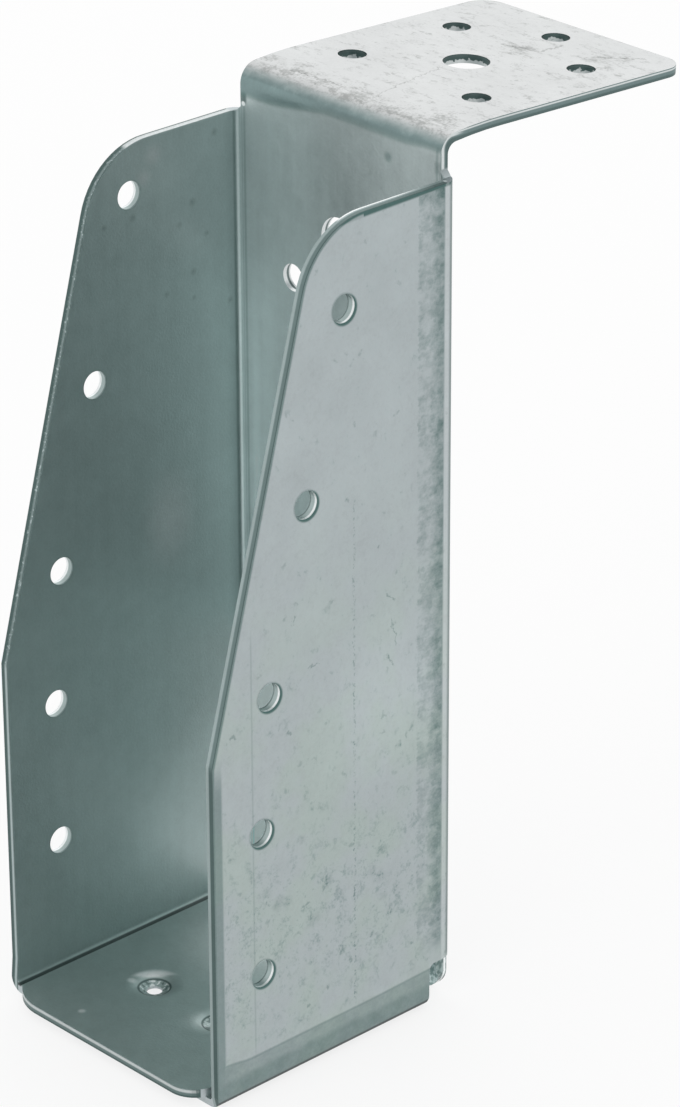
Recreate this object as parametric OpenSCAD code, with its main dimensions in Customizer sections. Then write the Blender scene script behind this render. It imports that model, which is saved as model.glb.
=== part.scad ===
// Joist hanger folded from one galvanised steel sheet.
// It stands on the underside of its seat, at z = 0. The back plate's rear face is at y = 0,
// the side plates run forward to -Y and the top flange runs backward to +Y.
// The right side plate is at +X. Everything is in millimetres.

// Sub-part to draw, or all of them

/* [Joist] */
// Width of the timber joist that the channel takes
joist_w = 46; // [44:0.5:50]
// Height from the top of the seat to the flange's highest line
joist_h = 145.4; // [142:0.1:155]
// Slack between the joist and the two side plates together
joist_gap = 0.5; // [0.3:0.1:1]

/* [Sheet] */
// Thickness of the steel sheet
sheet = 1.5; // [1.3:0.1:1.8]
// Inner radius of the upright and seat bends
bend_in = 1; // [0.8:0.1:1.3]

/* [Side plates] */
// Depth of the side plates, from the back plate's rear face to their front edge
side_depth = 51.5; // [50:0.5:56]
// Height of the upright part of the front edge, above the seat
front_h = 57.5; // [54:0.5:59]
// Lean of the front edge above that, from upright
slant = 15; // [14:0.25:16]
// Drop from the top of the flange to the left plate's top edge, at the back plate
top_drop = 7.9; // [7.5:0.1:9.5]
// How much higher the right plate's top edge stands
right_rise = 1.3; // [1:0.05:2.25]
// Fall of the top edges towards the back plate, from level
top_fall = 0.6; // [0.2:0.1:2]
// Radius of the upper front corner
top_corner_r = 13; // [10:0.5:15]
// Reach of the left plate's foot ahead of its front edge, where the lip starts
left_toe = 0.3; // [0.2:0.1:0.6]
// Setback of the lower flap's front edge, at the underside
right_toe = 0.6; // [0.4:0.1:0.8]

/* [Side nails] */
// Diameter of every nail hole
nail_d = 4.6; // [4.2:0.1:5.2]
// Distance of the lower nail holes behind the front edge
nail_inset = 9.75; // [9:0.25:11]
// Distance of the upper nail holes behind the slanted edge, measured level
nail_inset_up = 8.25; // [7.25:0.25:9]
// Height of the left plate's lowest nail hole, above the seat
nail_low = 22.75; // [20:0.25:24]
// Step up to the second nail hole
nail_step_low = 24.75; // [23:0.25:25]
// Step up to the third nail hole
nail_step_mid = 22.75; // [22.5:0.25:24]
// Step up to the fourth and fifth nail holes
nail_step = 29.5; // [28:0.25:29.75]
// Drop of the right plate's nail holes below the left plate's
stagger = 4.5; // [3:0.25:5]

/* [Back plate] */
// Diameter of the back plate's bolt hole
back_bolt_d = 8; // [7:0.25:9]
// Distance of that bolt hole below the top of the flange
back_bolt_drop = 23.5; // [22:0.5:26]
// Distance between the back plate's two nail holes
back_nail_pitch = 21; // [19:0.5:22]
// Distance of those nail holes below the top of the flange
back_nail_drop = 32.5; // [31.5:0.5:35]

/* [Top flange] */
// Length of the flange, from the back plate's rear face to its free edge
flange_len = 52.5; // [51.5:0.5:58]
// Inner radius of the fold between the back plate and the flange
fold_in = 1.75; // [1.5:0.05:2]
// Rise of the flange where it leaves the fold, from level
crown = 4; // [3:0.25:5]
// Distance from the back plate's rear face to where the crown ends and the flange runs straight
crown_end = 11; // [9:0.5:11.5]
// Droop of the straight flange below level, so that it grips the header
droop = 2.75; // [2:0.25:4]
// Radius of the flange's two free corners
flange_corner_r = 4; // [3:0.25:5]
// Distance between the flange's left and right nail holes
flange_pitch = 27.5; // [25:0.5:29]
// Distance of the first row of nail holes from the back plate's rear face
flange_row = 14.5; // [13.5:0.25:15.5]
// Distance from the first row to the second
flange_row_step = 23; // [21:0.25:24]
// Distance of the last nail hole from the free edge
flange_tip = 6.5; // [6:0.25:7]
// Diameter of the flange's bolt hole
flange_bolt_d = 7.5; // [6.5:0.25:8.5]

/* [Seat] */
// Distance the upper seat flap stands out ahead of the side plates
lip = 2.75; // [2:0.25:3.5]
// Slack between the upper flap's free end and the right plate
upper_gap = 1.25; // [1.2:0.05:2]
// Slack between the lower flap's free end and the left plate
lower_gap = 1.85; // [1.6:0.05:2.5]
// Radius of the flaps' free corners
flap_corner_r = 5; // [3.5:0.25:5.5]
// Radius of the lip's corner beside its bend
lip_corner_r = 9; // [7:0.5:11]
// Distance between the two drawn holes
drawn_pitch = 15.5; // [14:0.5:17]
// Distance of the drawn holes behind the side plates' front edge
drawn_inset = 15.5; // [13:0.5:20]
// Width of the dish round each drawn hole
drawn_flare_d = 9.5; // [8.5:0.25:10.5]
// Width of the dish's inner rim, where it turns down
drawn_rim_d = 5.5; // [5:0.1:6]
// Diameter of the drawn hole itself
drawn_d = 2.6; // [2.2:0.1:3]
// Diameter of the lower flap's clearance hole under each drawn hole
drawn_under_d = 8; // [7:0.25:9]

/* [Corner reliefs] */
// Height of the notch at each rear lower corner
notch_h = 8; // [7.5:0.25:10]
// Depth of that notch, from the back plate's rear face
notch_y = 5.5; // [5:0.1:6.5]
// Radius inside that notch
notch_r = 1.25; // [1:0.25:2]
// Radius of the back plate's lower corners
back_corner_r = 5.5; // [4:0.25:6]
// Small bevel at the foot of the tab, beside the side plates' top edges
tab_root = 0.8; // [0.4:0.1:1]

/* [Hidden] */
$fn = 64;
over = 1;
reach = 80;
// Arcs stand this far past the faces they join, so that each crosses its face cleanly
meet = 0.002;
bend_out = bend_in + sheet;
fold_out = fold_in + sheet;
inner = (joist_w + joist_gap) / 2;
outer = inner + sheet;
flat_half = outer - bend_out;
seat_top = 2 * sheet;
flange_top = seat_top + joist_h;
side_top = flange_top - top_drop;
kink_z = seat_top + front_h;
tan_s = tan(slant);
// The crown is an arc that leaves the fold rising and ends drooping
crown_out = (crown_end - fold_in + fold_out * sin(crown)) / (sin(crown) + sin(droop));
crown_in = crown_out - sheet;
crown_y = crown_end - crown_out * sin(droop);
crown_z = flange_top - crown_out;
fold_z = crown_z + (crown_out - fold_out) * cos(crown);
upper_half = inner - upper_gap;
lower_half = inner - lower_gap;
lip_y = -side_depth - lip;
toe_y = -side_depth - left_toe;
// Centre of the lip's corner: its arc leaves the toe just inside the bend
lip_rise = lip_corner_r - lip + left_toe;
lip_x = 0.1 - flat_half + sqrt(lip_corner_r * lip_corner_r - lip_rise * lip_rise);
drawn_y = -side_depth + drawn_inset;
bell_r = (drawn_flare_d - drawn_rim_d) / 2;
bell_deep = 0.5;
bell_big = (bell_r * bell_r + bell_deep * bell_deep) / (2 * bell_deep);
throat_z = sheet + 0.4;
tip_y = flange_len - flange_tip;
mid_y = flange_row + flange_row_step / 2;
left_z = [
  seat_top + nail_low,
  seat_top + nail_low + nail_step_low,
  seat_top + nail_low + nail_step_low + nail_step_mid,
  seat_top + nail_low + nail_step_low + nail_step_mid + nail_step,
  seat_top + nail_low + nail_step_low + nail_step_mid + 2 * nail_step
];

// How far behind the front edge the side plate starts, at height z above z = 0
function lean(z) = max(0, z - kink_z) * tan_s;

// Place of one side nail: level ones follow the front edge, upper ones the slanted edge
function nail_y(z) = z > kink_z ? -side_depth + lean(z) + nail_inset_up : -side_depth + nail_inset;

// A quarter of a bend, its axis on Z and its sheet in the corner +X +Y
module quarter_bend(h) {
  rotate_extrude(angle = 90) translate([bend_in, 0]) square([sheet, h]);
}

// Back plate with the two side plates and the upright bends between them, all left over-high
module walls() {
  high = flange_top - fold_out;
  translate([-flat_half, -sheet, 0]) cube([2 * flat_half, sheet, high]);
  for (s = [0, 1]) mirror([s, 0, 0]) translate([flat_half, -bend_out, 0]) quarter_bend(high);
  translate([inner, -side_depth, bend_out])
    cube([sheet, side_depth - bend_out, high - bend_out]);
  translate([-outer, toe_y, sheet + bend_out])
    cube([sheet, -toe_y - bend_out, high - sheet - bend_out]);
}

// Everything ahead of the slanted edge, outside the rounded upper corner and above the top edge,
// as seen from the right, for a top edge at height top where it meets the back plate.
// Drawn from the corner's centre, so that the edges and the arc meet exactly.
module front_waste(top) {
  r = top_corner_r;
  // Lines through the centre, parallel to the slanted edge and to the top edge
  a = -side_depth + r / cos(slant) - kink_z * tan_s;
  b = top - r / cos(top_fall);
  z = (b - a * tan(top_fall)) / (1 + tan_s * tan(top_fall));
  translate([a + z * tan_s, z]) difference() {
    union() {
      rotate(-slant) translate([-reach - r, -3 * reach]) square([reach, 3 * reach]);
      rotate(-top_fall) translate([0, r]) square([reach, reach]);
      intersection() {
        rotate(-slant) translate([-reach - r, 0]) square([2 * reach, reach]);
        rotate(-top_fall) translate([-2 * reach, -reach]) square([2 * reach, 3 * reach]);
      }
    }
    circle(r + meet);
  }
}

// The left foot's front, from its toe up to where the plate's own front edge begins
module toe_waste() {
  polygon([
    [toe_y - over, 0], [toe_y, 0], [toe_y, sheet + bend_out], [-side_depth, seat_top + bend_out + 2],
    [-side_depth, kink_z + over], [toe_y - over, kink_z + over]
  ]);
}

// Notch through the bend at the lower rear corners, as seen from the right
module notch_profile() {
  translate([-notch_y, -over]) square([notch_y + over, notch_h + over - notch_r]);
  translate([-notch_y + notch_r, -over]) square([notch_y + over - notch_r, notch_h + over]);
  translate([-notch_y + notch_r, notch_h - notch_r]) circle(notch_r + meet);
}

// Lays a profile drawn in Y and Z along X, from x0 for a length w
module along_x(x0, w) {
  translate([x0, 0, 0]) rotate([90, 0, 90]) linear_extrude(w) children();
}

// Corner waste: a square of side r with a quarter circle taken out, the corner at the origin
module corner_waste(r, h) {
  difference() {
    translate([-over, -over, 0]) cube([r + over, r + over, h]);
    translate([r, r, -over]) cylinder(r = r + meet, h = h + 2 * over);
  }
}

// Rounded lower corners of the back plate. Each arc crosses the notch's upright side, so they meet
// in a clear corner.
module back_corners() {
  for (s = [0, 1]) mirror([s, 0, 0])
    translate([-flat_half - over - 0.1, 0, 0]) rotate([90, 0, 0])
      translate([0, 0, -over]) corner_waste(back_corner_r, sheet + bend_out + 2 * over);
}

// Side walls trimmed to their outline
module trimmed_walls() {
  difference() {
    walls();
    along_x(-outer - over, outer + over) front_waste(side_top);
    along_x(0, outer + over) front_waste(side_top + right_rise);
    along_x(-outer - over, outer + over) toe_waste();
    for (s = [0, 1]) mirror([s, 0, 0])
      along_x(flat_half + over, outer) notch_profile();
    back_corners();
  }
}

// Edge of the tab, fold and flange as seen from the right, with Y and Z as drawn.
// Fold and crown are arcs drawn from their own centres, the straight flange from the crown's centre.
module fold_profile() {
  difference() {
    union() {
      translate([-sheet, side_top - 3]) square([fold_out, fold_z - side_top + 3]);
      translate([fold_in, fold_z]) circle(fold_out + 2 * meet);
      translate([crown_y, crown_z]) intersection() {
        circle(crown_out + meet);
        rotate(crown) square([reach, 2 * reach]);
        rotate(-droop) translate([-reach, 0]) square([reach + over, 2 * reach]);
      }
      translate([crown_y, crown_z]) rotate(-droop)
        translate([0, crown_in - over]) square([flange_len - crown_end, sheet + over]);
    }
    translate([0, -reach]) square([2 * fold_in, reach + fold_z]);
    translate([fold_in, fold_z]) circle(fold_in + 2 * meet);
    translate([crown_y, crown_z]) intersection() {
      circle(crown_in + meet);
      rotate(crown) translate([0, -reach]) square([2 * reach, 3 * reach]);
    }
    translate([crown_y, crown_z]) rotate(-droop) translate([0, -reach]) square([2 * reach, reach + crown_in]);
  }
}

// Tab above the back plate, the fold over its top and the flange behind it
module tab_and_flange() {
  tab_root(side_top + right_rise);
  mirror([1, 0, 0]) tab_root(side_top);
  difference() {
    along_x(-flat_half, 2 * flat_half) fold_profile();
    translate([0, crown_y, crown_z]) rotate([-droop, 0, 0]) translate([0, -crown_end, crown_in])
      flange_cuts();
  }
}

// Rounded free corners and holes of the flange, in its own drooping frame: Y is the distance
// from the back plate's rear face, Z = 0 is the underside
module flange_cuts() {
  for (s = [0, 1]) mirror([s, 0, 0])
    translate([-flat_half, flange_len, -over]) mirror([0, 1, 0])
      corner_waste(flange_corner_r, sheet + 2 * over);
  for (s = [-1, 1], k = [0, 1])
    translate([s * flange_pitch / 2, flange_row + k * flange_row_step, -over])
      cylinder(d = nail_d, h = sheet + 2 * over);
  translate([0, tip_y, -over]) cylinder(d = nail_d, h = sheet + 2 * over);
  translate([0, mid_y, -over]) cylinder(d = flange_bolt_d, h = sheet + 2 * over);
}

// Small bevel of sheet in the corner between the tab's right edge and the bend's top at height z
module tab_root(z) {
  intersection() {
    translate([flat_half, -bend_out, z - over]) quarter_bend(over + tab_root);
    translate([flat_half, over, z]) rotate([90, 0, 0]) linear_extrude(bend_out + 2 * over)
      polygon([[0, -over], [tab_root, -over], [tab_root, 0], [0, tab_root]]);
  }
}

// Lower seat flap, turned in from the right side plate
module lower_flap() {
  deep = side_depth - notch_y;
  difference() {
    union() {
      translate([flat_half, -notch_y, bend_out]) rotate([90, 0, 0]) rotate([0, 0, -90])
        quarter_bend(deep);
      difference() {
        translate([-lower_half, -side_depth, 0]) cube([lower_half + flat_half, deep, sheet]);
        translate([-lower_half, -side_depth, -over]) corner_waste(flap_corner_r, sheet + 2 * over);
        translate([-lower_half, -notch_y, -over]) mirror([0, 1, 0])
          corner_waste(flap_corner_r, sheet + 2 * over);
      }
    }
    along_x(-outer, 2 * outer + over) polygon([
      [-side_depth - over, bend_out], [-side_depth, bend_out], [-side_depth + right_toe, 0],
      [-side_depth + right_toe, -over], [-side_depth - over, -over]
    ]);
  }
}

// Upper seat flap, turned in from the left side plate, with its lip ahead of the plates
module upper_flap() {
  translate([-flat_half, -notch_y, sheet + bend_out]) rotate([90, 0, 0]) rotate([0, 0, 180])
    quarter_bend(-toe_y - notch_y);
  difference() {
    translate([-flat_half, lip_y, sheet]) cube([flat_half + upper_half, -lip_y - notch_y, sheet]);
    translate([0, 0, sheet - over]) linear_extrude(sheet + 2 * over) lip_waste();
    translate([upper_half, lip_y, 0]) mirror([1, 0, 0]) corner_waste(flap_corner_r, seat_top + over);
    translate([upper_half, -notch_y, 0]) mirror([1, 0, 0]) mirror([0, 1, 0])
      corner_waste(flap_corner_r, seat_top + over);
  }
}

// Waste outside the lip's left corner, seen from above: ahead of the toe and left of the arc's end
module lip_waste() {
  difference() {
    translate([-outer, lip_y - over]) square([outer + lip_x, toe_y - lip_y + over]);
    translate([lip_x, lip_y + lip_corner_r]) circle(lip_corner_r + meet);
  }
}

// Drawn hole: a dish, a cone down to the hole, and the lower flap's wider hole beneath
module drawn_hole() {
  translate([0, 0, -over]) cylinder(d = drawn_under_d, h = sheet + over);
  cylinder(d = drawn_d, h = seat_top + over);
  translate([0, 0, throat_z])
    cylinder(d1 = drawn_d, d2 = drawn_rim_d, h = seat_top - bell_deep - throat_z);
  difference() {
    translate([0, 0, seat_top - bell_deep]) cylinder(d = drawn_flare_d, h = bell_deep + over);
    translate([0, 0, seat_top - bell_big]) rotate_extrude()
      translate([drawn_flare_d / 2, 0]) circle(bell_big);
  }
}

// Holes through the side plates, the back plate and the seat
module wall_holes() {
  for (z = left_z) {
    translate([-outer - over, nail_y(z), z]) rotate([0, 90, 0]) cylinder(d = nail_d, h = sheet + 2 * over);
    translate([inner - over, nail_y(z), z - stagger]) rotate([0, 90, 0])
      cylinder(d = nail_d, h = sheet + 2 * over);
  }
  for (s = [-1, 1])
    translate([s * back_nail_pitch / 2, over, flange_top - back_nail_drop]) rotate([90, 0, 0])
      cylinder(d = nail_d, h = sheet + 2 * over);
  translate([0, over, flange_top - back_bolt_drop]) rotate([90, 0, 0])
    cylinder(d = back_bolt_d, h = sheet + 2 * over);
  for (s = [-1, 1]) translate([s * drawn_pitch / 2, drawn_y, 0]) drawn_hole();
}

// The whole hanger, one folded sheet
module hanger() {
  color([0.66, 0.69, 0.70]) difference() {
    union() {
      trimmed_walls();
      tab_and_flange();
      lower_flap();
      upper_flap();
    }
    wall_holes();
  }
}

hanger();
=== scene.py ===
import functools
import math

import bpy
from mathutils import Matrix, Vector

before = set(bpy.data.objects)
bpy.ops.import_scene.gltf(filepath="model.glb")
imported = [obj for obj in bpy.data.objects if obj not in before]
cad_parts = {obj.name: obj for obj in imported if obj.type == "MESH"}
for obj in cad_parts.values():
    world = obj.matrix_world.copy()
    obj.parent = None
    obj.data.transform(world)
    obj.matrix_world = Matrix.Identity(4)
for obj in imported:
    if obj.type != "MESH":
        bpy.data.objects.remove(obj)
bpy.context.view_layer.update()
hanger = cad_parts["hanger"]


# A node socket that takes sums with numbers and other sockets
class Sock:
    def __init__(self, nodes, out):
        self.nodes, self.out = nodes, out

    def do(self, op, *args):
        return self.nodes.maths(op, self, *args)

    def __add__(self, o):
        return self.do("ADD", o)

    __radd__ = __add__

    def __mul__(self, o):
        return self.do("MULTIPLY", o)

    __rmul__ = __mul__

    def __sub__(self, o):
        return self.do("SUBTRACT", o)

    def __rsub__(self, o):
        return self.nodes.maths("SUBTRACT", o, self)

    def __truediv__(self, o):
        return self.do("DIVIDE", o)

    def abs(self):
        return self.do("ABSOLUTE")

    def max(self, o):
        return self.do("MAXIMUM", o)

    def min(self, o):
        return self.do("MINIMUM", o)

    def root(self):
        return self.do("SQRT")

    # 0 at lo, 1 at hi, smooth between; falls instead where lo is the greater
    def ramp(self, lo, hi):
        n = self.nodes.add("ShaderNodeMapRange", {"interpolation_type": "SMOOTHSTEP"},
                           {0: self, 1: lo, 2: hi, 3: 0.0, 4: 1.0})
        return Sock(self.nodes, n.outputs[0])

    # 1 between lo and hi, with soft ends
    def band(self, lo, hi, soft=0.1):
        return self.ramp(lo - soft, lo + soft) * self.ramp(hi + soft, hi - soft)


# Builds a node tree from expressions
class Nodes:
    def __init__(self, owner):
        owner.use_nodes = True
        self.owner, self.tree = owner, owner.node_tree
        self.tree.nodes.clear()

    def add(self, kind, settings=None, inputs=None):
        n = self.tree.nodes.new(kind)
        for k, v in (settings or {}).items():
            setattr(n, k, v)
        for k, v in (inputs or {}).items():
            if isinstance(v, Sock):
                self.tree.links.new(v.out, n.inputs[k])
            else:
                n.inputs[k].default_value = v
        return n

    def maths(self, op, *args):
        n = self.add("ShaderNodeMath", {"operation": op}, dict(enumerate(args)))
        return Sock(self, n.outputs[0])

    def split(self, vec):
        n = self.add("ShaderNodeSeparateXYZ", None, {0: vec})
        return tuple(Sock(self, o) for o in n.outputs)

    # The part's own coordinates in millimetres
    def place(self):
        c = self.add("ShaderNodeTexCoord")
        return self.gain(Sock(self, c.outputs["Object"]), 1000.0)

    def facing(self):
        g = self.add("ShaderNodeNewGeometry")
        return self.split(Sock(self, g.outputs["True Normal"]))

    def stretch(self, vec, scale, shift=(0, 0, 0)):
        n = self.add("ShaderNodeVectorMath", {"operation": "MULTIPLY_ADD"},
                     {0: vec, 1: scale, 2: shift})
        return Sock(self, n.outputs[0])

    def join(self, *parts):
        n = self.add("ShaderNodeCombineXYZ", None, dict(enumerate(parts)))
        return Sock(self, n.outputs[0])

    def far(self, p, at):
        n = self.add("ShaderNodeVectorMath", {"operation": "DISTANCE"}, {0: p, 1: at})
        return Sock(self, n.outputs["Value"])

    def dot(self, p, way):
        n = self.add("ShaderNodeVectorMath", {"operation": "DOT_PRODUCT"}, {0: p, 1: way})
        return Sock(self, n.outputs["Value"])

    def noise(self, vec, scale, detail, rough, warp=0.0, colour=False):
        n = self.add("ShaderNodeTexNoise", None, {
            "Vector": vec, "Scale": scale, "Detail": detail,
            "Roughness": rough, "Distortion": warp})
        return Sock(self, n.outputs[1 if colour else 0])

    def cells(self, vec, scale):
        n = self.add("ShaderNodeTexVoronoi", None, {"Vector": vec, "Scale": scale})
        return Sock(self, n.outputs[0])

    def mix(self, fac, a, b):
        n = self.add("ShaderNodeMix", {"data_type": "RGBA"}, {0: fac, 6: a, 7: b})
        return Sock(self, n.outputs[2])

    def gain(self, vec, amount):
        n = self.add("ShaderNodeVectorMath", {"operation": "SCALE"}, {0: vec, 3: amount})
        return Sock(self, n.outputs[0])

    # One shader giving way to another
    def blend(self, fac, a, b):
        n = self.add("ShaderNodeMixShader", None, {0: fac, 1: a, 2: b})
        return Sock(self, n.outputs[0])

    # Seen by the camera, in a reflection or through a clear piece
    def seen(self):
        p = self.add("ShaderNodeLightPath")
        kinds = ("Is Camera Ray", "Is Glossy Ray", "Is Transmission Ray")
        return most([Sock(self, p.outputs[k]) for k in kinds])


# Largest of several masks
def most(masks):
    return functools.reduce(Sock.max, masks)


# Smallest of several distances
def least(distances):
    return functools.reduce(Sock.min, distances)


# A colour as it should look on screen, 0 to 255, turned into a shader's value
def tone(r, g, b):
    def lin(v):
        v /= 255
        return v / 12.92 if v <= 0.04045 else ((v + 0.055) / 1.055) ** 2.4

    return (lin(r), lin(g), lin(b), 1.0)


# The folded sheet, in millimetres: places are (y, z) on the side plates, (x, y) on the seat
sheet = {
    "innerX": 23.25,
    "thick": 1.5,
    "frontY": -51.5,
    "kinkZ": 60.5,
    "slant": 15.0,
    "leftTop": 140.5,
    "rightRise": 1.3,
    "topFall": 0.6,
    "cornerR": 13.0,
    "seatTop": 3.0,
    "tabZ": (142.6, 143.2),
    "nailR": 2.3,
    "stagger": 4.5,
    "nails": ((-41.75, 25.75), (-41.75, 50.5), (-39.83, 73.25), (-31.93, 102.75), (-24.02, 132.25)),
    "drawnAt": ((-7.75, -36.0), (7.75, -36.0)),
    "notchGlints": ((-21.6, -1.5, 141.9), (22.9, -2.2, 141.6), (23.9, -2.2, 141.7)),
}

# Galvanised steel: the zinc's colour on each face, the stains and the worn metal. The inner, back,
# seat, flange, fold and foldPale colours are lighter and darker copies of the zinc, painted light
# and shade; glint is a painted highlight, and shine is worn metal and painted highlight
zinc = {
    "plate": (177, 186, 188),
    "mossy": (172, 184, 181),
    "glowAndPale": (204, 208, 208),
    "inner": (165, 180, 179),
    "back": (174, 185, 185),
    "seat": (174, 189, 187),
    "flange": (203, 205, 205),
    "fold": (117, 136, 136),
    "foldPale": (152, 167, 167),
    "cutLight": (176, 190, 190),
    "cutMid": (106, 124, 123),
    "cutDark": (76, 96, 94),
    "stainAndShade": (80, 110, 107),
    "deepShade": (26, 42, 41),
    "warmStain": (130, 133, 131),
    "shine": (238, 242, 242),
    "glint": (255, 255, 255),
}

# Its gloss, and the fine bumps that break the reflections
gloss = {
    "metal": 0.82,
    "rough": 0.38,
    "roughSwing": 0.2,
    "bumpStrength": 0.35,
    "bumpDepth": 0.0001,
}

# Noise behind the weathering: stretch along x, y and z, then scale, detail, roughness, distortion
weather = {
    "cloud": (None, 0.085, 3, 0.55),
    "mottle": (None, 0.42, 4, 0.66),
    "grain": (None, 2.2, 2, 0.65),
    "sparkle": (None, 1.3, 1, 0.5),
    "smear": ((0.3, 0.62, 0.5), 1.0, 5, 0.74, 0.4),
    "lumps": ((0.1, 0.4, 0.4), 1.0, 3, 0.62),
    "bars": ((0.1, 0.6, 1.2), 1.0, 3, 0.6),
    "streak": ((0.55, 0.55, 0.03), 1.0, 3, 0.6),
}

# How marks waver: the drift's noise, and its reach in millimetres
wander = {
    "drift": (0.9, 2, 0.6),
    "reach": 2.4,
}


# Distance below a side plate's top edge
def topDistance(y, z, right):
    top = right * sheet["rightRise"] + sheet["leftTop"]
    return top + y * math.tan(math.radians(sheet["topFall"])) - z


# Distance behind a side plate's cut outline: front, slant, round corner, top
def edgeDistance(y, z, right, level):
    s = sheet
    lean, fall, r = math.radians(s["slant"]), math.radians(s["topFall"]), s["cornerR"]
    top = right * s["rightRise"] + s["leftTop"]
    upright = y - s["frontY"]
    slanted = (upright - (z - s["kinkZ"]) * math.tan(lean)) * math.cos(lean)
    # Corner's centre, which moves with the height of the top edge
    a = s["frontY"] + r / math.cos(lean) - s["kinkZ"] * math.tan(lean)
    cz = top - r / math.cos(fall) - a * math.tan(fall)
    cz = cz / (1 + math.tan(lean) * math.tan(fall))
    cy = a + cz * math.tan(lean)
    dy, dz = y - cy, z - cz
    ahead = dy * -math.cos(fall) - dz * math.sin(fall)
    above = dy * math.sin(lean) + dz * math.cos(lean)
    inCorner = ahead.ramp(-0.01, 0.01) * above.ramp(-0.01, 0.01)
    arc = r - (dy * dy + dz * dz).root()
    plain = least([upright, slanted, level])
    return plain + (arc - plain) * inCorner


# Distance to the nearest side nail hole's centre, or past it by a shift
def nailDistance(m, shift=0.0):
    yz = m.join(0.0, m.y, m.z + m.right * sheet["stagger"])
    return least([m.far(yz, (0, y + shift, z - shift)) for y, z in sheet["nails"]])


# Places given by two numbers, on an upright face and on a level one
def onSide(y, z):
    return Vector((0, y, z))


def onLevel(x, y):
    return Vector((x, y, 0))


# Round spots, each with its own radius; core is the share of it that is fully marked
def spots(m, where, put, marks, core=0.0):
    return most([m.far(where, put(a, b)).ramp(r, r * core) for a, b, r in marks])


# A straight scratch from one point to another
def stroke(m, where, start, end, width, across):
    length = (end - start).length
    along = (end - start) / length
    aside = across.cross(along)
    run = m.dot(where, along) - (start + end).dot(along) / 2
    off = m.dot(where, aside) - start.dot(aside)
    return off.abs().ramp(width, width * 0.3) * run.abs().ramp(length / 2, length / 2 - 0.4)


def strokes(m, where, put, marks, across):
    return most([stroke(m, where, put(*a), put(*b), w, Vector(across)) for a, b, w in marks])


def weathered(m, kind):
    stretch, *settings = weather[kind]
    return m.noise(m.stretch(m.vec, stretch) if stretch else m.vec, *settings)


# Noises that every shader has; each has its own nodes
def grime(m):
    return tuple(weathered(m, kind) for kind in ("cloud", "mottle", "grain"))


# Brightness that swings about 1 with each of those noises
def uneven(noises, swings):
    total = 1
    for k, swing in zip(noises, swings):
        total = total + (k - 0.5) * swing
    return total


# The part's coordinates, slightly waved
def wavy(m):
    drift = m.noise(m.vec, *wander["drift"], colour=True)
    return m.stretch(drift, (wander["reach"],) * 3, m.vec)


# Zinc of a given colour and brightness; wear is added to its roughness
def zincShader(m, colour, shade, wear, mottle, grain):
    bump = m.add("ShaderNodeBump", None, {
        "Height": grain, "Strength": gloss["bumpStrength"], "Distance": gloss["bumpDepth"]})
    shader = m.add("ShaderNodeBsdfPrincipled", None, {
        "Base Color": m.gain(colour, shade),
        "Metallic": gloss["metal"],
        "Roughness": gloss["rough"] + (mottle - 0.5) * gloss["roughSwing"] + wear,
        "Normal": Sock(m, bump.outputs[0])})
    return Sock(m, shader.outputs[0])


# Marks on the side plates' outer faces: spots are (y, z, radius), scratches are from, to, half
# width. Pairs are where a mark sets in and where it is full; names that end in By are strengths
plateMarks = {
    "shadeBy": (0.2, 0.28, 0.2),
    "mossyCloud": (0.4, 0.62),
    "mossyZ": (110, 50),
    "paleAt": (24.75, -15, 60),
    "paleR": (20, 2),
    "paleBy": 0.12,
    "specks": 0.3,
    "speckR": (0.2, 0.04),
    "speckCloud": (0.42, 0.55),
    "speckBy": 0.3,
    "smudges": ((-40.7, 35.2, 1.3), (-38.2, 32.4, 1.9), (-36.6, 32.0, 1.6), (-28.0, 32.0, 1.8),
                (-31.0, 26.5, 2.0), (-18.2, 30.2, 1.6), (-16.6, 28.8, 1.7), (-15.8, 24.9, 1.2),
                (-14.3, 21.7, 1.3), (-18.3, 18.9, 1.1), (-22.3, 20.2, 1.1), (-24.7, 18.7, 1.2),
                (-33.4, 41.9, 1.2), (-13.1, 25.1, 1.4), (-27.6, 79.6, 1.1)),
    "dots": ((-35.8, 61.2), (-47.3, 64.5), (-16.8, 86.5), (-32.1, 29.8), (-23.1, 16.0),
             (-27.8, 13.2), (-32.1, 11.5)),
    "dotR": (0.55, 0.2),
    "dotBy": 0.4,
    "scratches": (((-34.2, 80.9), (-34.9, 79.1), 0.2), ((-31.9, 71.1), (-29.2, 70.7), 0.18),
                  ((-15.3, 67.5), (-13.5, 64.7), 0.2), ((-15.0, 77.9), (-13.1, 75.8), 0.18),
                  ((-14.1, 73.4), (-13.0, 68.3), 0.18)),
    "scratchBy": 0.38,
    "wearAndHighlightZ": 28,
    "wearAndHighlightBy": 0.44,
    "blotchZ": (12, 42, 10),
    "marksFromZ": (7, 9),
    "dottedY": -22.0,
    "dottedBy": 0.35,
    "fineY": -43.4,
    "fineBy": 0.2,
    "ladderY": (-8.6, -8.2),
    "ladderBendY": (-2.8, -3.2),
    "ladderZ": (9, 13),
    "footZ": 7.0,
    "footLineBy": 0.5,
    "rolledWide": (2.05, 1.5),
    "rolledZ": (63, 55),
    "arris": (0.6, 0.2),
    "arrisBy": 0.7,
    "topArris": (0.75, 0.3),
    "topArrisBy": 0.3,
    "rimWide": 0.42,
    "rimBy": 0.35,
    "lowRimWide": 0.45,
    "lowRimShift": 0.3,
    "bendLineY": (-2.85, -2.05, 0.15),
    "bendLineBy": 0.2,
    "bendY": (-1.95, -1.55),
    "bendZ": (8, 9),
    "bendBy": 0.8,
    "soleZ": (1.9, 1.3),
    "soleBy": 0.92,
    "roughBy": 0.1,
}


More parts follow.
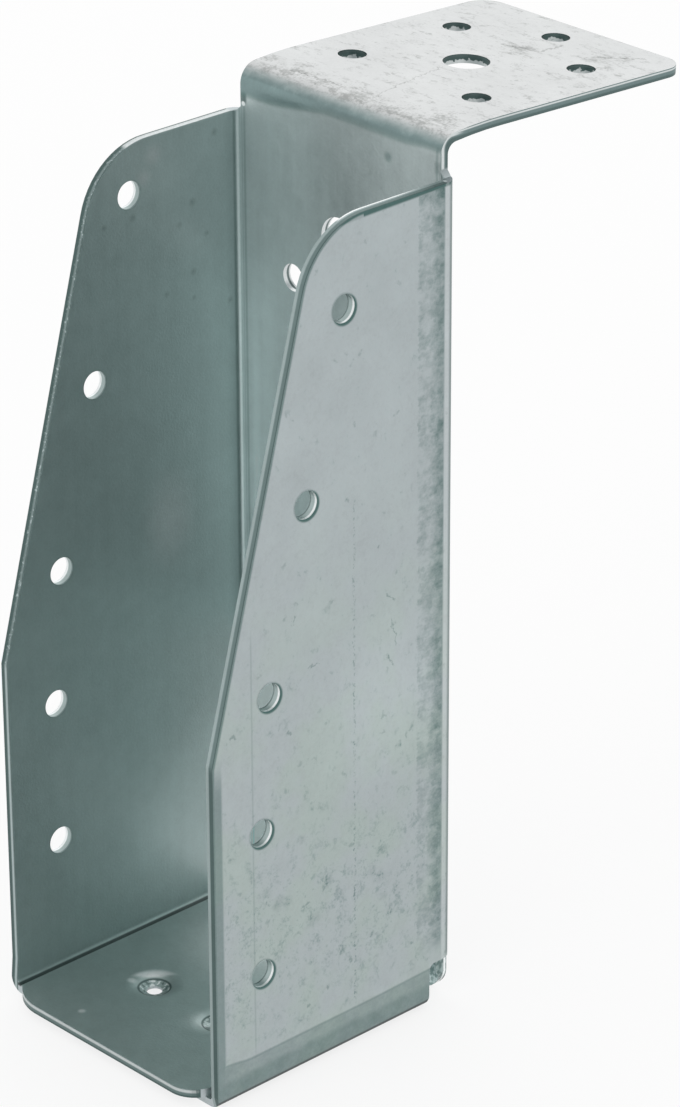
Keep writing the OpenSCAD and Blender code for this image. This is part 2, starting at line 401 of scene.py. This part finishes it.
# Outer faces of the side plates with their bends
def plateShader(m, c):
    p, y, z = plateMarks, m.y, m.z
    noises = cloud, mottle, grain = grime(m)
    level = topDistance(y, z, m.right)
    edge = edgeDistance(y, z, m.right, level)
    warped = wavy(m)
    smear = weathered(m, "smear")
    specks = m.cells(warped, p["specks"]).ramp(*p["speckR"]) * cloud.ramp(*p["speckCloud"])
    mossy = cloud.ramp(*p["mossyCloud"]) * z.ramp(*p["mossyZ"])
    colour = m.mix(mossy, c["plate"], c["mossy"])
    shade = uneven(noises, p["shadeBy"])
    # Painted light: a broad lighter patch on the right plate's outer face
    shade = shade + m.far(m.vec, p["paleAt"]).ramp(*p["paleR"]) * p["paleBy"]

    # Smudges, scratches and specks
    half = wander["reach"] / 2
    onPlate = m.stretch(warped, (0, 1, 1), (0, -half, -half))
    smudged = spots(m, onPlate, onSide, p["smudges"], 0.1)
    dotted = most([m.far(onPlate, onSide(*v)).ramp(*p["dotR"]) for v in p["dots"]])
    lines = strokes(m, onPlate, onSide, p["scratches"], (1, 0, 0))
    away = (z - p["wearAndHighlightZ"]).abs().ramp(18, 70)
    worn = smear + (mottle - 0.5) * 0.55 + (grain - 0.5) * 0.4 - away * 0.09
    worn = worn.ramp(0.5, 0.84)
    blotchy = (smear * 0.5 + mottle * 0.8 + (grain - 0.5) * 0.7).ramp(0.62, 0.92)
    blotchy = blotchy * (z.band(*p["blotchZ"]) * 0.75 + 0.2)
    dotLine = (y - p["dottedY"] + (mottle - 0.5) * 1.2).abs().ramp(0.34, 0.1) * z.band(8, 96, 1)
    fineLine = (y - p["fineY"]).abs().ramp(0.25, 0.08) * z.band(8, 80, 2)
    marks = worn.max(blotchy) * p["wearAndHighlightBy"] + smudged * (0.12 + (grain - 0.4) * 0.8)
    marks = marks + dotted * p["dotBy"] + lines * p["scratchBy"]
    marks = marks * z.ramp(*p["marksFromZ"]) + dotLine * grain.ramp(0.5, 0.6) * p["dottedBy"]
    marks = marks + fineLine * p["fineBy"] + specks * p["speckBy"]

    # The bending tool's ladder of marks beside the bend
    lumps = weathered(m, "lumps")
    bars = weathered(m, "bars")
    ladder = lumps.ramp(0.4, 0.62) * 0.24 + (bars - 0.45) * 0.75 + (grain - 0.5) * 0.5
    ladder = ladder + y.ramp(-6.6, -3.6) * 0.34 + level.ramp(3.5, 0.5) * 0.25
    ladder = ladder * (y + (bars - 0.5) * 1.6).ramp(*p["ladderY"])
    ladder = ladder * y.ramp(*p["ladderBendY"]) * z.ramp(*p["ladderZ"])

    # Foot of the plate, and painted shade along the rolled front edge, its arris and the top arris
    footZ = p["footZ"] + (y + 20).ramp(0, 16) * 0.25 + y.ramp(-44, -50) * 0.7
    foot = 0.4 + (lumps - 0.5) * 0.4 + z.ramp(5.4, 3.9) * 0.2
    foot = (z - footZ).ramp(0.25, -0.25) * foot
    footLine = (z - footZ + 0.1).abs().ramp(0.5, 0.05) * p["footLineBy"]
    rolled = edge.ramp(*p["rolledWide"]) * (0.54 + (mottle - 0.5) * 0.3) * z.ramp(*p["rolledZ"])
    rolled = rolled.max(edge.ramp(*p["arris"]) * p["arrisBy"])
    rolled = rolled + level.ramp(*p["topArris"]) * p["topArrisBy"]
    nailR = sheet["nailR"]
    rim = nailDistance(m).ramp(nailR + p["rimWide"], nailR) * p["rimBy"]
    rim = rim.max(nailDistance(m, p["lowRimShift"]).ramp(nailR + p["lowRimWide"], nailR))

    # Stains, wear, tool marks and nail hole rims, with the painted shade of the edges, in one
    # stain-and-shade colour
    stainedAndShaded = most([marks, ladder, foot, footLine, rolled, rim])
    colour = m.mix(stainedAndShaded, colour, c["stainAndShade"])
    # Painted highlight in a line in front of the rear bend, painted shade on the rear bend's
    # outside and along the bottom bend
    colour = m.mix(y.band(*p["bendLineY"]) * p["bendLineBy"], colour, c["shine"])
    bent = y.ramp(*p["bendY"]) * z.ramp(*p["bendZ"])
    colour = m.mix(bent * p["bendBy"], colour, c["cutMid"])
    colour = m.mix(z.ramp(*p["soleZ"]) * p["soleBy"], colour, c["deepShade"])
    return zincShader(m, colour, shade, stainedAndShaded * p["roughBy"], mottle, grain)


# Where each inner face lies: its slope, then its place
innerZones = {
    "full": (0.6, 0.9),
    "plateX": (22.9, 23.7),
    "plateZ": (2.4, 2.6),
    "backY": (-1.9, -1.2),
    "rearY": (-0.3, 0.3),
    "seatSlope": (0.3, 0.7),
    "seatZ": (4.0, 3.4),
    "holeX": (21.6, 21.2),
    "holeSlope": (0.6, 0.3),
    "holeY": (-1.48, -0.02, 0.02),
    "holeZ": (9.5, 142.5),
    "holeLightY": (-0.75, -0.3),
    "holeBy": 0.8,
}

# Marks on the inner faces: spots are (y, z, radius), named as on the outer ones
innerMarks = {
    "shadeBy": (0.2, 0.24, 0.16),
    "streakBy": 0.2,
    "innerStreakBy": 0.12,
    "dark": ((-6.2, 138.0, 1.0), (-11.0, 127.6, 1.1), (-23.4, 128.3, 1.0), (-29.2, 128.2, 0.8),
             (-13.8, 124.5, 0.8), (-11.0, 115.9, 0.9), (-11.0, 111.5, 0.7), (-3.4, 108.9, 0.9),
             (-16.7, 113.6, 0.8), (-8.1, 121.6, 0.7)),
    "darkBy": 0.6,
    "pale": ((-18.9, 137.5, 2.6), (-21.0, 134.2, 2.2)),
    "paleBy": 0.35,
    "cornerAt": (-4, 22),
    "cornerR": (26, 4),
    "cornerBy": 0.4,
    "innerGlowAt": (0, -20.4, 60),
    "innerGlowR": (9, 0),
    "innerGlowBy": 0.5,
    "nailRim": 0.3,
    "nailRimBy": 0.3,
    "backSpot": (10.9, 141.9, 0),
    "backSpotR": (1.2, 0.3),
    "backSpotBy": 0.45,
    "ridgeX": (22.05, 22.42, 0.08),
    "hollowX": (21.2, 21.7, 0.2),
    "hollowBy": 0.35,
    "bendX": (21.9, 23.5),
    "bendY": (-2.3, -1.4, 0.25),
    "bendBy": 0.42,
    "pinchZ": 143.0,
    "pinchX": (20.9, 23.6, 0.3),
    "pinchBy": 0.8,
    "rightPinchLess": 0.5,
    "notchGlintR": (0.5, 0.25),
    "notchGlintBy": 0.85,
}

# The seat: spots are (x, y, radius), and the soft ones have a strength as well. Glints are painted
# highlights and halos painted sheen
seatMarks = {
    "bendShadeX": (22.45, 23.35),
    "bendShadeZ": (2.8, 3.34, 0.12),
    "bendShadeBy": 0.9,
    "dish": (5.2, 3.9),
    "dishMouth": (2.85, 3.1),
    "lightBeyond": (2.4, 3.5),
    "glints": ((-11.4, -37.7, 1.1), (6.8, -38.3, 1.3), (-9.6, -49.9, 0.9)),
    "glintBy": 0.7,
    "halos": ((6.2, -38.0, 4.5, 0.3), (-5.0, -12.0, 20.0, 0.8)),
    "away": (-0.78, 0.63, 0.0),
    "throatR": (2.6, 2.45),
    "throatZ": (1.4, 3.1),
    "holeR": (1.25, 1.4),
    "mouthR": (2.45, 2.8, 0.12),
    "mouthBy": 0.85,
}

# Notched rear corners, and the fold above the back plate
cornerMarks = {
    "notchZ": (8.6, 7.4),
    "notchX": (17.5, 18.5),
    "notchY": (-4.6, -4.2),
    "arrisY": (-0.85, -0.4),
    "lowArrisY": (-1.3, -0.4),
    "lowArrisZ": (2.6, 2.2),
    "innerEdgeY": (-0.3, -0.15),
    "wearAndHighlightBy": 0.8,
}
foldMarks = {
    "creaseZ": 145.4,
    "leftDrop": 1.9,
    "rightRise": 0.5,
    "paleZ": (146.2, 148.2),
    "wearAndHighlightZ": (147.85, 148.25, 0.12),
    "wearAndHighlightBy": 0.6,
    "creaseWide": (0.8, 0.1),
    "creaseBy": 0.4,
}


# Inner faces, seat, and the back plate up to its fold
def insideShader(m, c):
    x, y, z, side = m.x, m.y, m.z, m.side
    nx, ny, nz = m.nx, m.ny, m.nz
    noises = grime(m)
    mottle, grain = noises[1:]
    at, p = innerZones, innerMarks
    streak = weathered(m, "streak")
    inner = side.band(*at["plateX"]) * nx.abs().ramp(*at["full"]) * z.ramp(*at["plateZ"])
    back = (-1 * ny).ramp(*at["full"]) * y.band(*at["backY"])
    rear = ny.ramp(*at["full"]) * y.band(*at["rearY"])
    seat = nz.ramp(*at["seatSlope"]) * z.ramp(*at["seatZ"])
    # Inner, back and seat colours: darker and lighter copies of the zinc, painted shade and light
    colour = m.mix(inner, c["plate"], c["inner"])
    colour = m.mix(back, colour, c["back"])
    colour = m.mix(seat, colour, c["seat"])
    shade = uneven(noises, p["shadeBy"])
    drawn = back.max(rear) * p["streakBy"] + inner * p["innerStreakBy"]
    shade = shade + (streak - 0.5) * drawn

    # Side plates: painted light in a glow at the lower rear corner and a patch of reflected light
    # halfway up, two pale spots near the top, and a few dark spots on the left one
    onInner = m.stretch(m.vec, (0, 1, 1))
    corner = m.far(onInner, onSide(*p["cornerAt"])).ramp(*p["cornerR"])
    innerGlow = m.far(m.stretch(m.vec, (0, 1.2, 0.8)), p["innerGlowAt"]).ramp(*p["innerGlowR"])
    darkened = spots(m, onInner, onSide, p["dark"])
    paled = spots(m, onInner, onSide, p["pale"])
    # Painted light: inner faces lighter near the lower rear corner, towards the rear and towards
    # the bottom
    shade = shade + inner * (corner * 0.2 + y.ramp(-44, -14) * 0.06 + z.ramp(50, 6) * 0.12)
    shade = shade - inner * (1 - m.right) * darkened * (grain - 0.1) * p["darkBy"]
    glowAndPaleSpots = most([corner * p["cornerBy"], innerGlow * p["innerGlowBy"], paled * p["paleBy"]])
    colour = m.mix(inner * glowAndPaleSpots, colour, c["glowAndPale"])
    around = nailDistance(m).ramp(sheet["nailR"] + p["nailRim"], sheet["nailR"])
    colour = m.mix(inner * around * p["nailRimBy"], colour, c["stainAndShade"])

    # Back plate: painted light that falls unevenly, one dark spot, and the walls of its holes
    # painted bright with a dark band, a painted highlight
    lit = z.band(58, 116, 18) * 0.4 + z.ramp(60, 40) * 1.2
    lit = lit + x.ramp(6, -18) * 0.2 - x.band(-5, 7, 5) * 0.17
    lit = lit + x.band(-20.3, -18.7, 0.7) * z.ramp(126, 84) * 0.25
    lit = lit + x.ramp(-12, -17) * z.ramp(122, 104) * 0.2
    shade = shade + back * (lit - x.ramp(4, 14) * 0.08)
    darkSpot = m.far(m.join(x, z, 0.0), p["backSpot"]).ramp(*p["backSpotR"])
    colour = m.mix(back * darkSpot * p["backSpotBy"], colour, c["stainAndShade"])
    backHole = side.ramp(*at["holeX"]) * ny.abs().ramp(*at["holeSlope"])
    backHole = backHole * y.band(*at["holeY"]) * z.band(*at["holeZ"])
    backWall = m.mix(y.band(*at["holeLightY"]), c["shine"], c["cutDark"])
    colour = m.mix(backHole * at["holeBy"], colour, backWall)

    # Upright bends: painted shade in their hollows and on the back plate beside them, left lighter
    # on a thin ridge
    ridge = side.band(*p["ridgeX"])
    bend = side.band(*p["bendX"]) * y.band(*p["bendY"]) * p["bendBy"]
    bend = bend * z.ramp(142.6, 142.0) * (1 - ridge * 0.6)
    hollow = (side.band(*p["hollowX"]) * back * p["hollowBy"]).max(bend)
    colour = m.mix(hollow, colour, c["stainAndShade"])
    # Painted highlights at the relief notches where the bends end below the tab, and dark pinches
    # beside them
    pinch = (z - p["pinchZ"]).abs().ramp(1.3, 0.5) * side.band(*p["pinchX"])
    pinch = pinch * y.ramp(-3.2, -2.7) * (p["pinchBy"] - m.right * p["rightPinchLess"])
    colour = m.mix(pinch, colour, c["cutDark"])
    notchGlints = most([m.far(m.vec, v).ramp(*p["notchGlintR"]) for v in sheet["notchGlints"]])
    colour = m.mix(notchGlints * p["notchGlintBy"], colour, c["shine"])

    # Seat: painted shade in a dark line in the bottom bend; painted highlights and sheen round the
    # mouths of the drawn holes, painted highlights and shade in their throats, and a painted dark
    # ring at each mouth
    p = seatMarks
    bendShade = z.band(*p["bendShadeZ"]) * side.band(*p["bendShadeX"]) * y.ramp(-2.5, -3.5)
    colour = m.mix(bendShade * p["bendShadeBy"], colour, c["deepShade"])
    onSeat = m.stretch(m.vec, (1, 1, 0))
    mouths = [m.far(onSeat, onLevel(*v)) for v in sheet["drawnAt"]]
    mouth = least(mouths)
    away = Vector(p["away"])
    beyond = m.dot(onSeat, away) - onLevel(*sheet["drawnAt"][0]).dot(away)
    crescent = mouths[0].ramp(*p["dishMouth"]) * mouths[0].ramp(*p["dish"])
    crescent = crescent * beyond.ramp(*p["lightBeyond"])
    glints = most([m.far(onSeat, onLevel(a, b)).ramp(r, 0.2) for a, b, r in p["glints"]])
    soft = most([m.far(onSeat, onLevel(a, b)).ramp(r, 0) * by for a, b, r, by in p["halos"]])
    colour = m.mix(seat * most([crescent, glints * p["glintBy"], soft]), colour, c["glint"])
    throat = mouth.ramp(*p["throatR"]) * z.band(*p["throatZ"]) * mouth.ramp(*p["holeR"])
    sparkle = weathered(m, "sparkle")
    colour = m.mix(throat * sparkle.ramp(0.56, 0.62), colour, c["shine"])
    colour = m.mix(throat * sparkle.ramp(0.46, 0.4) * 0.6, colour, c["cutDark"])
    colour = m.mix(mouth.band(*p["mouthR"]) * seat * p["mouthBy"], colour, c["cutDark"])

    # Notched rear corners: painted shade broken by noise, a painted highlight on the arris and a
    # painted dark line at the inner edge
    p = cornerMarks
    corners = z.ramp(*p["notchZ"]) * side.ramp(*p["notchX"]) * y.ramp(*p["notchY"]) * (1 - rear)
    colour = m.mix(corners * (0.86 - sparkle.ramp(0.42, 0.58) * 0.5), colour, c["cutDark"])
    sheared = corners * nx.abs().ramp(0.15, 0.4)
    arrisHighlight = y.band(*p["arrisY"]).max(y.band(*p["lowArrisY"]) * z.ramp(*p["lowArrisZ"]))
    colour = m.mix(sheared * arrisHighlight * p["wearAndHighlightBy"], colour, c["shine"])
    colour = m.mix(sheared * y.ramp(*p["innerEdgeY"]) * p["wearAndHighlightBy"], colour, c["deepShade"])

    # Fold: painted shade on its face, paler towards the top as a painted reflection, painted shade
    # in the crease where it leaves the back plate, and a painted highlight line at its top
    p = foldMarks
    creaseZ = p["creaseZ"] - x.ramp(-1, -18) * p["leftDrop"] + x.ramp(14, 20) * p["rightRise"]
    foldBand = (z - creaseZ).ramp(-0.5, 0.7) * y.ramp(0.9, 0.2) * ny.ramp(0.02, -0.15)
    folded = m.mix((z + (mottle - 0.5) * 3).ramp(*p["paleZ"]), c["fold"], c["foldPale"])
    colour = m.mix(foldBand, colour, folded)
    foldTopHighlight = z.band(*p["wearAndHighlightZ"]) * mottle.ramp(0.45, 0.6)
    colour = m.mix(foldTopHighlight * p["wearAndHighlightBy"], colour, c["shine"])
    crease = (z - creaseZ).abs().ramp(*p["creaseWide"]) * y.ramp(-0.8, -1.2)
    colour = m.mix(crease * p["creaseBy"], colour, c["stainAndShade"])
    return zincShader(m, colour, shade, 0.0, mottle, grain)


# Scratches and scuffs on the flange, with places in (x, y)
flangeMarks = {
    "shadeBy": (0.18, 0.24, 0.16),
    "scratches": (((3.4, 2.2), (-0.5, 21.6), 0.14), ((3.6, 38.6), (3.7, 44.0), 0.35),
                  ((10.7, 43.0), (16.9, 49.0), 0.25), ((-3.4, 36.5), (3.5, 38.5), 0.35),
                  ((13.0, 38.0), (15.9, 40.5), 0.25), ((-15.0, 2.4), (-4.0, 3.2), 0.3),
                  ((-9.4, 51.2), (-7.0, 52.3), 0.3)),
    "scratchBy": 0.5,
    "scuffs": ((1.0, 37.0, 5.0), (13.0, 45.0, 5.5), (16.0, 41.0, 3.0), (-14.0, 3.0, 4.0),
               (0.0, 3.0, 3.5), (17.0, 4.0, 4.0)),
    "scuffBy": 0.7,
    "foldScuffY": (6, 1),
}

# Cut edges. Across a plate's thickness 0 is the inner face and 1 the outer one
cutMarks = {
    "slopeZ": (59.5, 61.5),
    "rightLight": (-0.1, 0.42, 0.1),
    "rightBy": 0.62,
    "leftLight": (0.16, 0.48, 0.14),
    "leftBy": 0.95,
    "leftSlopeLess": 0.6,
    "flecks": (0.1, 0.6),
    "fleckBy": 0.6,
    "outerBurr": (0.78, 0.96),
    "rightTopLight": (0.28, 0.14),
    "rightTopY": (-25, -9, 3),
    "leftTopLight": (0.12, 0.8, 0.08),
    "leftTopBy": 0.62,
    "topDeep": (0.4, 0.12),
    "nailWall": (3.0, 2.7),
    "wallOuter": (0.7, 0.98, 0.05),
    "wallInner": (0.24, 0.1),
    "wallBy": 0.7,
    "lipLight": (0.1, 0.45, 0.1),
    "lipBy": 0.62,
    "lipBurr": (0.7, 0.85),
    "rough": 0.06,
}

# Profile of the fold and the crowned flange, and the bands of its cut face by depth
flangeCutMarks = {
    "foldAt": (1.0, 145.9),
    "foldR": 2.5,
    "crownFrom": 7.14,
    "crownTo": 11,
    "crownSag": 161,
    "droop": 0.048,
    "burr": (0.85, 1.15),
    "burrBy": 0.7,
    "light": (0.18, 0.42),
    "lightBy": 0.8,
    "foldLight": (0.2, 0.75, 0.12),
    "foldLightBy": 0.75,
    "holeX": (21.5, 21),
    "holeY": (4, 50.5),
    "holeTone": (0.85, 1.05),
    "holeBy": 0.95,
}


# Flange, and every cut edge
def edgeShader(m, c):
    y, z, side, right = m.y, m.z, m.side, m.right
    nx, ny, nz = m.nx, m.ny, m.nz
    noises = grime(m)
    mottle, grain = noises[1:]
    smear = weathered(m, "smear")
    sparkle = weathered(m, "sparkle")
    shade = uneven(noises, flangeMarks["shadeBy"])
    high = z.ramp(*sheet["tabZ"])

    # Flange: pale, partly painted light, scuffed beside the fold and between the holes
    p = flangeMarks
    half = wander["reach"] / 2
    onFlange = m.stretch(wavy(m), (1, 1, 0), (-half, -half, 0))
    lined = strokes(m, onFlange, onLevel, p["scratches"], (0, 0, 1))
    scuffed = spots(m, onFlange, onLevel, p["scuffs"])
    scuff = smear + (mottle - 0.5) * 0.6 + (grain - 0.5) * 0.6
    scuff = (scuff + scuffed * 0.16 + y.ramp(*p["foldScuffY"]) * 0.14).ramp(0.5, 0.86)
    upward = nz.ramp(*parting["upward"])
    colour = m.mix(upward, c["plate"], c["flange"])
    dirt = scuff * p["scuffBy"] + lined * p["scratchBy"]
    colour = m.mix(upward * dirt, colour, c["warmStain"])

    # Cut faces of the plates: bright at the inner arris, worn and partly painted highlight, dark at
    # the outer one; painted highlight along the top edges
    p = cutMarks
    level = topDistance(y, z, right)
    across = (side - sheet["innerX"]) / sheet["thick"]
    slope = z.ramp(*p["slopeZ"])
    bright = across.band(*p["rightLight"]) * p["rightBy"] * right
    leftBright = across.band(*p["leftLight"]) * (p["leftBy"] - slope * p["leftSlopeLess"])
    flecks = slope * grain.ramp(0.56, 0.66) * across.band(*p["flecks"]) * p["fleckBy"]
    bright = bright + (leftBright + flecks) * (1 - right)
    cutTone = m.mix(right * slope, c["cutDark"], c["cutMid"])
    cutTone = m.mix(bright, cutTone, c["cutLight"])
    cutTone = m.mix(across.ramp(*p["outerBurr"]) * right * slope, cutTone, c["cutDark"])
    topLine = right * across.ramp(*p["rightTopLight"]) * y.band(*p["rightTopY"])
    topLine = topLine + (1 - right) * across.band(*p["leftTopLight"]) * p["leftTopBy"]
    cutTone = m.mix(level.ramp(*p["topDeep"]) * topLine, cutTone, c["shine"])
    wall = m.mix(across.band(*p["wallOuter"]), c["inner"], c["shine"])
    wall = m.mix(across.ramp(*p["wallInner"]) * p["wallBy"], wall, c["cutDark"])
    cutTone = m.mix(nailDistance(m).ramp(*p["nailWall"]), cutTone, wall)
    colour = m.mix(1 - high, colour, cutTone)

    # Cut faces of the tab, fold and flange: light arris, grey sheared band, dark burr
    p = flangeCutMarks
    foldY, foldZ = p["foldAt"]
    drop = (y.min(p["crownTo"]) - p["crownFrom"]).max(0)
    sag = drop * drop / p["crownSag"] + (y - p["crownTo"]).max(0) * p["droop"]
    ahead = (foldY - y).max(0)
    above = (z - foldZ + sag).max(0)
    depth = p["foldR"] - (ahead * ahead + above * above).root()
    sheared = m.mix(depth.ramp(*p["burr"]) * p["burrBy"], c["fold"], c["cutDark"])
    folded = nx.abs().ramp(0.6, 0.9) * y.ramp(4, 1)
    foldPale = folded * depth.band(*p["foldLight"]) * p["foldLightBy"]
    sheared = m.mix((depth.band(*p["light"]) * p["lightBy"]).max(foldPale), sheared, c["shine"])
    cut = (y.ramp(1.5, 2.5) * nz.abs().ramp(0.6, 0.4)).max(nx.abs().ramp(0.6, 0.9)) * high
    bored = cut * side.ramp(*p["holeX"]) * y.band(*p["holeY"])
    colour = m.mix(cut, colour, sheared)
    patchy = (depth + (sparkle - 0.5) * 1.6).ramp(*p["holeTone"]) * 0.7
    colour = m.mix(bored * p["holeBy"], colour, m.mix(patchy, c["cutDark"], c["shine"]))

    # Front edge of the seat
    p = cutMarks
    lip = ny.ramp(-0.5, -0.8) * y.ramp(-51.9, -52.3) * z.ramp(3.3, 3.1)
    lipDepth = (sheet["seatTop"] - z) / sheet["thick"]
    lipTone = m.mix(lipDepth.band(*p["lipLight"]) * p["lipBy"], c["cutMid"], c["shine"])
    lipTone = m.mix(lipDepth.ramp(*p["lipBurr"]), lipTone, c["cutDark"])
    colour = m.mix(lip * 0.9, colour, lipTone)
    return zincShader(m, colour, shade, p["rough"], mottle, grain)


# Where the three shaders part from one another, in millimetres or as slopes of the surface
parting = {
    "sideways": (0.6, 0.65),
    "upward": (0.05, 0.3),
    "outsideX": (24.2, 24.3),
    "underX": (22.9, 23.0),
    "underZ": (2.6, 2.55),
    "notAhead": (0.5, 0.45),
    "bendX": (23.0, 23.1),
    "bendY": (-2.6, -2.55),
    "backward": (0.02, 0.05),
    "tabFootZ": (142.6, 142.7),
    "crownY": (-1.2, 0.6),
    "plateCutX": (23.2, 23.3),
    "plateCutY": (-2.4, -2.5),
    "flangeCutY": (1.5, 1.6),
    "flangeCutZ": (142.8, 142.9),
    "lipY": (-51.9, -52.0),
    "lipSlope": (0.5, 0.4),
}


# Galvanised steel: one shader for the outer faces, one for the inner ones and one for the edges
def zincMaterial():
    data = bpy.data.materials.new("zinc")
    m, p = Nodes(data), parting
    m.vec = m.place()
    m.x, m.y, m.z = m.split(m.vec)
    m.nx, m.ny, m.nz = m.facing()
    m.side, m.right = m.x.abs(), m.x.ramp(-0.1, 0.1)
    c = {k: tone(*v) for k, v in zinc.items()}
    flat = m.nx.abs().ramp(*p["sideways"])
    # Outer faces: the plates, the bottom bend's underside and the upright bends' outsides
    plates = m.side.ramp(*p["outsideX"]) * flat
    under = m.side.ramp(*p["underX"]) * m.z.ramp(*p["underZ"]) * m.ny.abs().ramp(*p["notAhead"])
    bends = m.side.ramp(*p["bendX"]) * m.y.ramp(*p["bendY"]) * m.ny.ramp(*p["backward"])
    onPlate = most([plates, under, bends * (1 - m.z.ramp(*p["tabFootZ"]))])
    # Flange and cut edges
    crown = m.z.ramp(*sheet["tabZ"]) * m.nz.ramp(*p["upward"]) * m.y.ramp(*p["crownY"])
    plateCut = m.side.ramp(*p["plateCutX"]) * (1 - flat) * m.y.ramp(*p["plateCutY"])
    flangeCut = m.z.ramp(*p["flangeCutZ"]) * flat.max(m.y.ramp(*p["flangeCutY"]))
    lip = m.y.ramp(*p["lipY"]) * m.nz.ramp(*p["lipSlope"])
    onEdge = most([crown, plateCut, flangeCut, lip])
    faces = m.blend(onEdge, insideShader(m, c), edgeShader(m, c))
    whole = m.blend(onPlate, faces, plateShader(m, c))
    m.add("ShaderNodeOutputMaterial", None, {0: whole})
    return data


for slot in hanger.material_slots:
    slot.material = zincMaterial()
print("materials done")

# Camera angle in degrees, distances in millimetres
view = {
    "azimuth": 46.677,
    "elevation": 25.548,
    "roll": -0.244,
    "focal": 4805.0,
    "long": 1107.0,
    "distance": 730.85,
    "across": 20.793,
    "up": -26.104,
    "target": (0.0, -30.0, 110.0),
}


def makeCamera():
    az, el, roll = (math.radians(view[k]) for k in ("azimuth", "elevation", "roll"))
    back = Vector((math.sin(az) * math.cos(el), -math.cos(az) * math.cos(el), math.sin(el)))
    right = Vector((math.cos(az), math.sin(az), 0.0))
    up = back.cross(right)
    r = math.cos(roll) * right + math.sin(roll) * up
    u = -math.sin(roll) * right + math.cos(roll) * up
    place = Vector(view["target"]) + back * view["distance"] + r * view["across"] + u * view["up"]
    data = bpy.data.cameras.new("camera")
    data.sensor_fit = "AUTO"
    data.sensor_width = 36.0
    data.lens = view["focal"] / view["long"] * data.sensor_width
    data.clip_start, data.clip_end = 0.01, 20.0
    cam = bpy.data.objects.new("camera", data)
    bpy.context.scene.collection.objects.link(cam)
    turn = Matrix((r, u, back)).transposed().to_4x4()
    cam.matrix_world = Matrix.Translation(place / 1000) @ turn
    bpy.context.scene.camera = cam


makeCamera()
print("camera done")

# Plain soft light, white floor and surroundings
studio = {
    "floorSize": 6.0,
    "floorColour": 0.95,
    "floorGlow": 0.8,
    "air": 0.9,
    "panelTowards": (-0.657, 0.619, 0.431),
    "panelDistance": 1.3,
    "panelSize": (1.1, 0.9),
    "panelPower": 1.3,
    "frontTowards": (0.1, -0.95, 0.3),
    "frontPower": 2.5,
}


def makeFloor():
    bpy.ops.mesh.primitive_plane_add(size=studio["floorSize"], location=(0, 0, 0))
    floor = bpy.context.object
    floor.name = "floor"
    data = bpy.data.materials.new("floorPaint")
    m = Nodes(data)
    pale = studio["floorColour"]
    paint = m.add("ShaderNodeBsdfDiffuse", None, {0: (pale, pale, pale, 1)})
    glow = m.add("ShaderNodeEmission", None, {0: (1, 1, 1, 1), 1: 1.0})
    white = m.seen() * studio["floorGlow"]
    both = m.blend(white, Sock(m, paint.outputs[0]), Sock(m, glow.outputs[0]))
    m.add("ShaderNodeOutputMaterial", None, {0: both})
    floor.data.materials.append(data)


def makeWorld():
    world = bpy.data.worlds.new("studio")
    bpy.context.scene.world = world
    m = Nodes(world)
    air = m.add("ShaderNodeBackground", None, {0: (1, 1, 1, 1), 1: studio["air"]})
    white = m.add("ShaderNodeBackground", None, {0: (1, 1, 1, 1), 1: 1.0})
    both = m.blend(m.seen(), Sock(m, air.outputs[0]), Sock(m, white.outputs[0]))
    m.add("ShaderNodeOutputWorld", None, {0: both})


def makePanel(name, towards, power):
    lamp = bpy.data.lights.new(name, "AREA")
    lamp.shape = "RECTANGLE"
    lamp.size, lamp.size_y = studio["panelSize"]
    lamp.energy = power
    panel = bpy.data.objects.new(name, lamp)
    bpy.context.scene.collection.objects.link(panel)
    towards = Vector(towards).normalized()
    panel.location = Vector((0, 0, 0.1)) + towards * studio["panelDistance"]
    panel.rotation_euler = towards.to_track_quat("Z", "Y").to_euler()


makeFloor()
makeWorld()
makePanel("rearPanel", studio["panelTowards"], studio["panelPower"])
makePanel("frontPanel", studio["frontTowards"], studio["frontPower"])
print("studio done")
bpy.context.scene.view_settings.view_transform = "Standard"
